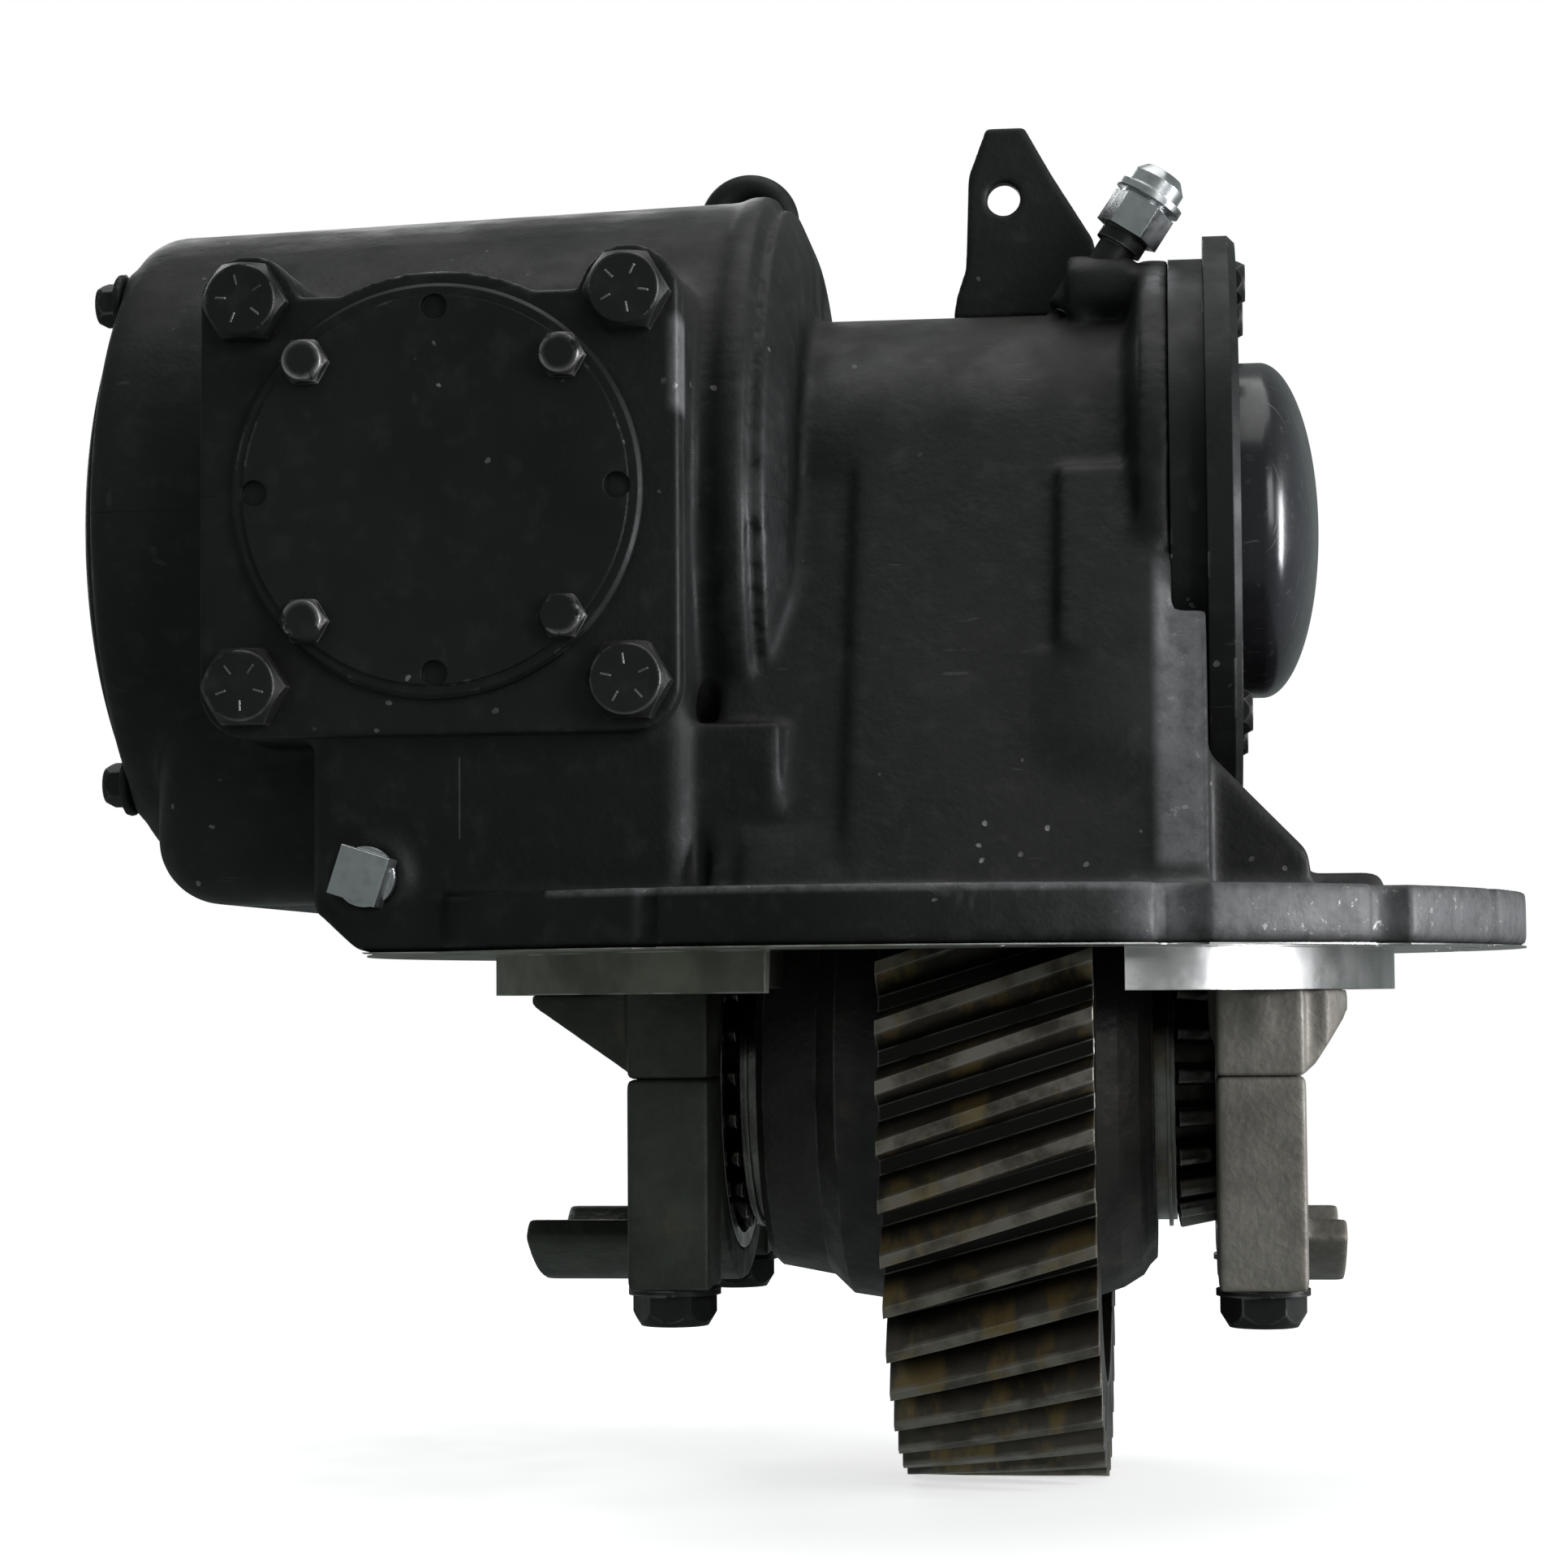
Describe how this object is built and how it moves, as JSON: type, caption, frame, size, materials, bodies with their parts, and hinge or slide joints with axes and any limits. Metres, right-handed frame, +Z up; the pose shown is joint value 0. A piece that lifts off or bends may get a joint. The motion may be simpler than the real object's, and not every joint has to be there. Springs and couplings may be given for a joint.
{
  "type": "drive axle gearbox",
  "caption": "Double-reduction drive-axle gearbox: bevel stage in a drum, helical pinion driving a bull gear and differential below a round mounting flange.",
  "frame": {"origin": "centre of the mounting pilot on the flange's seating face (its underside)", "axes": "+X along the cross shaft towards the domed cap, +Y towards the input flange, +Z up, out of the axle housing"},
  "size_m": [0.5745, 0.499, 0.5575],
  "materials": {
    "black_paint": "satin black paint on cast iron",
    "black_bolt": "satin black paint on forged bolts",
    "gloss_black": "glossy black pressed steel",
    "zinc_plate": "zinc plated",
    "bare_iron": "bare machined cast iron",
    "dark_iron": "oiled cast iron",
    "gear_steel": "cut and oiled gear steel",
    "bearing_steel": "ground bearing steel",
    "machined_steel": "turned steel",
    "seal_rubber": "nitrile lip seal"
  },
  "bodies": {
    "housing": {"carrier_housing": "black_paint", "left_pedestal": "black_paint", "right_pedestal": "black_paint", "left_drum_cover": "black_paint", "left_cover_bolts": "black_bolt", "right_bearing_cage": "black_paint", "right_cover_plate": "black_paint", "right_cover_bolts": "black_bolt", "dome_cap": "gloss_black", "square_cover": "black_paint", "square_cover_bolt_1": "black_bolt", "square_cover_bolt_2": "black_bolt", "square_cover_bolt_3": "black_bolt", "square_cover_bolt_4": "black_bolt", "round_cover": "black_paint", "round_cover_bolts": "black_bolt", "square_head_plug": "zinc_plate", "breather_neck": "black_bolt", "breather_head": "zinc_plate", "lifting_eye": "black_paint", "top_bracket": "black_paint", "left_bearing_cap": "bare_iron", "right_bearing_cap": "bare_iron", "cap_bolt_1": "black_bolt", "cap_bolt_2": "black_bolt", "cap_bolt_3": "black_bolt", "cap_bolt_4": "black_bolt", "left_adjusting_ring": "bearing_steel", "right_adjusting_ring": "bearing_steel", "left_differential_cup": "bearing_steel", "right_differential_cup": "bearing_steel", "left_cross_cup": "bearing_steel", "right_cross_cup": "bearing_steel", "pinion_cage": "black_paint", "pinion_cage_bolts": "black_bolt", "head_bearing_cup": "bearing_steel", "tail_bearing_cup": "bearing_steel", "oil_seal": "seal_rubber"},
    "input": {"bevel_pinion": "gear_steel", "head_bearing_cone": "bearing_steel", "tail_bearing_cone": "bearing_steel", "companion_flange": "machined_steel", "pinion_nut": "machined_steel"},
    "cross_shaft": {"cross_shaft": "gear_steel", "bevel_ring_gear": "gear_steel", "left_cross_cone": "bearing_steel", "right_cross_cone": "bearing_steel"},
    "differential": {"bull_gear": "gear_steel", "case_half_left": "dark_iron", "case_half_right": "dark_iron", "case_bolts": "machined_steel", "spider": "gear_steel", "left_differential_cone": "bearing_steel", "right_differential_cone": "bearing_steel"},
    "left_side_gear": {"left_side_gear": "gear_steel"},
    "right_side_gear": {"right_side_gear": "gear_steel"},
    "spider_pinion_1": {"spider_pinion_1": "gear_steel"},
    "spider_pinion_2": {"spider_pinion_2": "gear_steel"},
    "spider_pinion_3": {"spider_pinion_3": "gear_steel"},
    "spider_pinion_4": {"spider_pinion_4": "gear_steel"}
  },
  "joints": [
    {"name": "differential_spin", "type": "hinge", "parent": "housing", "child": "differential", "pos_m": [0.0135, 0, -0.0488], "axis": [1, 0, 0], "continuous": true},
    {"name": "cross_shaft_spin", "type": "hinge", "parent": "housing", "child": "cross_shaft", "pos_m": [0, 0, 0.1733], "axis": [1, 0, 0], "continuous": true},
    {"name": "input_spin", "type": "hinge", "parent": "housing", "child": "input", "pos_m": [-0.1764, 0.15, 0.1733], "axis": [0, 1, 0], "continuous": true},
    {"name": "left_side_gear_spin", "type": "hinge", "parent": "differential", "child": "left_side_gear", "pos_m": [-0.02, 0, -0.0488], "axis": [1, 0, 0], "continuous": true},
    {"name": "right_side_gear_spin", "type": "hinge", "parent": "differential", "child": "right_side_gear", "pos_m": [0.047, 0, -0.0488], "axis": [1, 0, 0], "continuous": true},
    {"name": "spider_pinion_1_spin", "type": "hinge", "parent": "differential", "child": "spider_pinion_1", "pos_m": [0.0135, 0, 0.0062], "axis": [0, 0, 1], "continuous": true},
    {"name": "spider_pinion_2_spin", "type": "hinge", "parent": "differential", "child": "spider_pinion_2", "pos_m": [0.0135, -0.055, -0.0488], "axis": [0, -1, 0], "continuous": true},
    {"name": "spider_pinion_3_spin", "type": "hinge", "parent": "differential", "child": "spider_pinion_3", "pos_m": [0.0135, 0, -0.1038], "axis": [0, 0, -1], "continuous": true},
    {"name": "spider_pinion_4_spin", "type": "hinge", "parent": "differential", "child": "spider_pinion_4", "pos_m": [0.0135, 0.055, -0.0488], "axis": [0, 1, 0], "continuous": true}
  ],
  "couplings": [
    {"joint": "cross_shaft_spin", "follows": "differential_spin", "ratio": -2.4211},
    {"joint": "input_spin", "follows": "differential_spin", "ratio": -4.13},
    {"joint": "right_side_gear_spin", "follows": "left_side_gear_spin", "ratio": -1},
    {"joint": "spider_pinion_1_spin", "follows": "left_side_gear_spin", "ratio": 2},
    {"joint": "spider_pinion_2_spin", "follows": "left_side_gear_spin", "ratio": 2},
    {"joint": "spider_pinion_3_spin", "follows": "left_side_gear_spin", "ratio": 2},
    {"joint": "spider_pinion_4_spin", "follows": "left_side_gear_spin", "ratio": 2}
  ]
}
